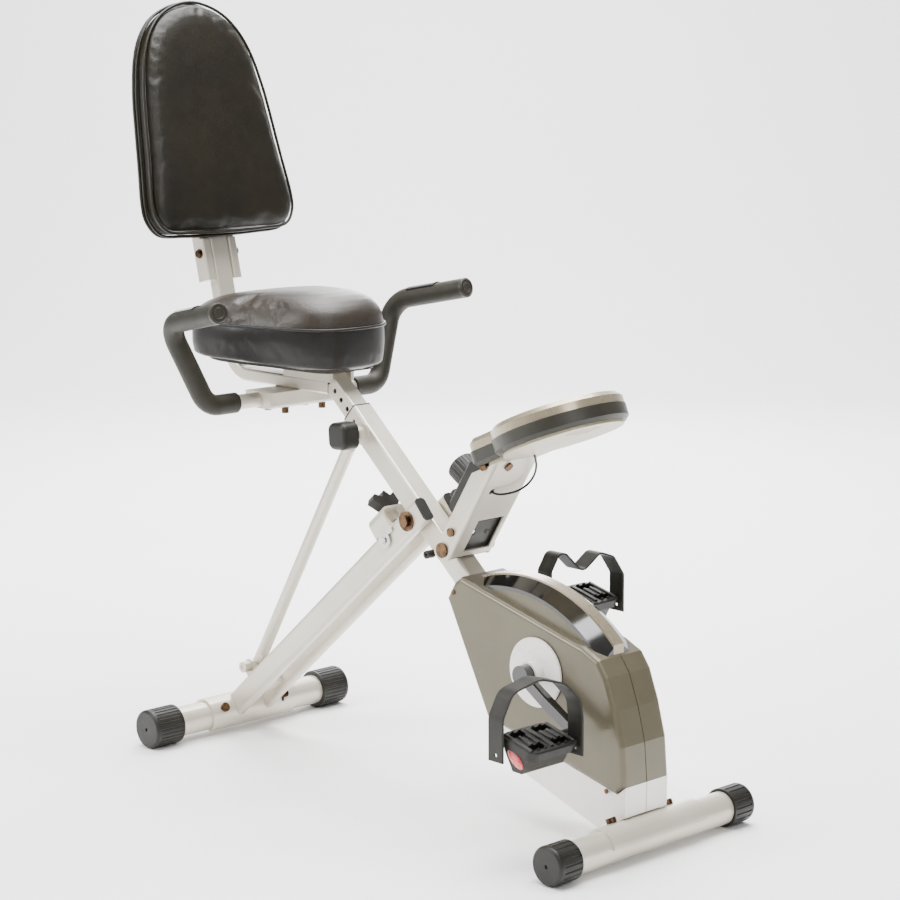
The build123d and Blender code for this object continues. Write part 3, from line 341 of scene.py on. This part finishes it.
def seat_height(height, x):
    """Heights above the rim are level with it, and below it lean towards the floor's tilt."""
    share = min(1, max(0, height / SEAT_RIM))
    return height + x * (math.tan(SEAT_FLOOR_TILT) * (1 - share) + math.tan(SEAT_RIM_TILT) * share)


def add_seat():
    rings = []
    lip = ((0.060, 0.002), (0.018, 0.002), (0.016, -0.006), (0.006, -0.009), (0.001, -0.004), (0.0, 0.012), (0.0, 0.030),
           (0.0005, 0.046))
    for inset, height in lip:
        ring = seat_outline(inset)
        rings.append([(SEAT_MID.x + x, y, SEAT_MID.z + seat_height(height if height > 0 else height * (0.65 + 2 * x), x))
                      for x, y in ring])
    outer = seat_outline(0.001)
    for scale in (1.0, 0.992, 0.975, 0.95, 0.91, 0.85, 0.76, 0.64, 0.50, 0.34, 0.17, 0.05):
        ring = outer * scale
        rise = (1 - scale ** 4.0) ** 0.55
        dip = 0.004 * math.exp(-((1 - scale) / 0.02) ** 2)
        rings.append([(SEAT_MID.x + x, y, SEAT_MID.z + seat_height(SEAT_RIM, x) - dip + rise * (SEAT_DOME + 0.07 * x))
                      for x, y in ring])
    seat = skin("seat_cushion_soft", rings, SEAT_SIDE)
    puff(seat, 0.005, 0.004)
    refine(seat)
    # The faces above the rim take the lighter top material: a painted sheen on the cushion's upper face.
    seat.data.materials.append(SEAT_TOP_PAINTED_SHEEN)
    for face in seat.data.polygons:
        x, _, z = face.center
        rim = SEAT_MID.z + seat_height(SEAT_RIM, x - SEAT_MID.x)
        face.material_index = 1 if z > rim - 0.001 else 0
    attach(seat, "seat_slide")
    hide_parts("seat_cushion")
    line = [(SEAT_MID.x + x, y, SEAT_MID.z + seat_height(SEAT_RIM - 0.002, x)) for x, y in seat_outline(-0.0002, 160)]
    welt = rod_along("seat_welt", line, 0.0028, SEAT_SIDE, 10, True)
    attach(welt, "seat_slide")


add_seat()

# ---- backrest -----------------------------------------------------------------------------
BACK_FOOT = Vector((-0.033 - MID, 0, 0.860))
BACK_LEAN = math.radians(14.0)
BACK_REAR = -0.0195


def back_outline(inset, count=110):
    half = [(0.0, 0.0), (0.002, 0.080), (0.006, 0.126), (0.028, 0.1465), (0.060, 0.1505), (0.126, 0.143), (0.219, 0.133),
            (0.262, 0.126), (0.306, 0.115), (0.344, 0.097), (0.374, 0.070), (0.392, 0.036), (0.3985, 0.0)]
    pts = smooth_closed(half + [(s, -y) for s, y in reversed(half[1:-1])], count)
    middle = np.array((0.19, 0.0))
    away = pts - middle
    return middle + away * (1 - inset / np.linalg.norm(away, axis=1, keepdims=True))


def back_place(ring, depths):
    up = Vector((-math.sin(BACK_LEAN), 0, math.cos(BACK_LEAN)))
    out = Vector((math.cos(BACK_LEAN), 0, math.sin(BACK_LEAN)))
    return [BACK_FOOT + up * s + Vector((0, y, 0)) + out * d for (s, y), d in zip(ring, depths)]


def add_backrest():
    rings = []
    for inset, depth in ((0.04, BACK_REAR), (0.006, BACK_REAR), (0.0, BACK_REAR + 0.004), (-0.001, -0.010),
                         (0.0, 0.0), (0.001, 0.007), (0.002, 0.012)):
        ring = back_outline(inset)
        rings.append(back_place(ring, [depth] * len(ring)))
    for inset, depth in ((0.0055, 0.0160), (0.011, 0.0185), (0.022, 0.0205), (0.040, 0.022), (0.065, 0.023), (0.095, 0.0235)):
        ring = back_outline(inset)
        rings.append(back_place(ring, [depth] * len(ring)))
    pad = skin("backrest_cushion_soft", rings, VINYL)
    puff(pad, 0.005, 0.004)
    refine(pad)
    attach(pad, "seat_slide")
    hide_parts("backrest_cushion", "backrest_board")
    for name, inset, depth, radius in (("back_welt_front", 0.001, 0.0125, 0.0026),
                                       ("back_welt_middle", -0.0015, -0.006, 0.0022),
                                       ("back_welt_rear", 0.0, BACK_REAR + 0.004, 0.0030)):
        line = back_place(back_outline(inset, 180), [depth] * 180)
        welt = rod_along(name, line, radius, VINYL, 10, True)
        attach(welt, "seat_slide")


add_backrest()


# ---- small parts --------------------------------------------------------------------------
def add_lens(name, body, place, half_wide, half_tall, turn, facing):
    """An oval, domed reflector that faces along y."""
    rings = []
    for scale, out in ((1.0, -0.0020), (1.0, 0.0008), (0.94, 0.0016), (0.80, 0.0024), (0.55, 0.0030), (0.25, 0.0033)):
        ring = []
        for k in range(40):
            angle = 2 * math.pi * k / 40 * -facing
            x, z = half_wide * scale * math.cos(angle), half_tall * scale * math.sin(angle)
            ring.append((place[0] + x * math.cos(turn) - z * math.sin(turn), place[1] + facing * out,
                         place[2] + x * math.sin(turn) + z * math.cos(turn)))
        rings.append(ring)
    lens = skin(name, rings, RED)
    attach(lens, body)


PEDALS = (("pedal_right", (0.45864, -0.162, 0.18864), -1), ("pedal_left", (0.24084, 0.162, 0.31136), 1))
KEEL_END = 0.043                  # from a pedal's middle to the outer face of its keel


def add_reflectors():
    for body, (x, y, z), side in PEDALS:
        add_lens(body + "_reflector", body, (x + 0.001, y + side * KEEL_END, z - 0.0175), 0.0185, 0.0085, math.radians(-38), side)


add_reflectors()

GRIP_END = (0.2805 - MID, 0.2655, 0.7695)
GRIP_START = (0.124 - MID, 0.2435, 0.738)


def add_grip_rings():
    """A raised ring round each grip's end, and a smaller, thinner ring inside it."""
    for side in (-1, 1):
        end = Vector((GRIP_END[0], side * GRIP_END[1], GRIP_END[2]))
        along = (end - Vector((GRIP_START[0], side * GRIP_START[1], GRIP_START[2]))).normalized()
        u = along.orthogonal().normalized()
        v = along.cross(u)
        for name, radius, thick, ahead in (("outer", 0.0150, 0.0018, 0.0050), ("inner", 0.0085, 0.0011, 0.0052)):
            line = []
            for k in range(48):
                angle = 2 * math.pi * k / 48
                line.append(end + along * ahead + (u * math.cos(angle) + v * math.sin(angle)) * radius)
            ring = rod_along("grip_ring_%s_%s" % (name, "left" if side > 0 else "right"), line, thick, CHARCOAL, 10, True)
            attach(ring, "seat_slide")


add_grip_rings()


# ---- light, floor -------------------------------------------------------------------------
def add_area(name, place, aim, wide, power, tint=(1, 1, 1)):
    data = bpy.data.lights.new(name, "AREA")
    data.shape = "RECTANGLE"
    data.size, data.size_y = wide
    data.energy = power
    data.color = tint
    lamp = bpy.data.objects.new(name, data)
    lamp.location = place
    lamp.rotation_euler = (Vector(aim) - Vector(place)).to_track_quat("-Z", "Y").to_euler()
    bpy.context.collection.objects.link(lamp)


add_area("top_softbox", (0.1, 0.2, 3.4), (0.1, 0, 0.4), (2.6, 2.6), 350)
add_area("side_softbox", (-1.6, -3.3, 2.3), (0.0, 0, 0.5), (1.4, 1.8), 150)
add_area("front_softbox", (3.4, -1.4, 2.6), (0.1, 0, 0.5), (1.4, 1.4), 40)
add_area("rear_strip", (-2.4, 2.6, 1.8), (0, 0, 0.6), (0.8, 2.0), 50)
add_area("backdrop_light", (-1.6, 1.6, 3.8), (-3.6, 3.4, 0.8), (3.0, 1.5), 520)

world = bpy.data.worlds.new("studio")
world.use_nodes = True
world.node_tree.nodes["Background"].inputs["Color"].default_value = (1, 1, 1, 1)
world.node_tree.nodes["Background"].inputs["Strength"].default_value = 0.45
bpy.context.scene.world = world


def add_floor():
    """A pale floor that sweeps up into a backdrop behind the bike."""
    look = material("floor_white", (0.93, 0.93, 0.93), (0.92, 0.92, 0.92), 0.9, 0.0, 2, 300, 0.01)
    ahead = Vector((-math.sin(CAMERA_AZIMUTH), math.cos(CAMERA_AZIMUTH), 0))
    across = Vector((math.cos(CAMERA_AZIMUTH), math.sin(CAMERA_AZIMUTH), 0))
    line = [(-5.0, 0.0), (4.0, 0.0)]
    for k in range(1, 13):
        angle = math.pi / 2 * k / 12
        line.append((4.0 + 2.5 * math.sin(angle), 2.5 - 2.5 * math.cos(angle)))
    line.append((6.5, 7.0))
    points, faces = [], []
    for away, height in line:
        for side in (-9.0, 9.0):
            points.append(ahead * away + across * side + Vector((0, 0, height - 0.0004)))
    for k in range(len(line) - 1):
        faces.append((2 * k, 2 * k + 1, 2 * k + 3, 2 * k + 2))
    mesh_object("floor", points, faces, look)


add_floor()
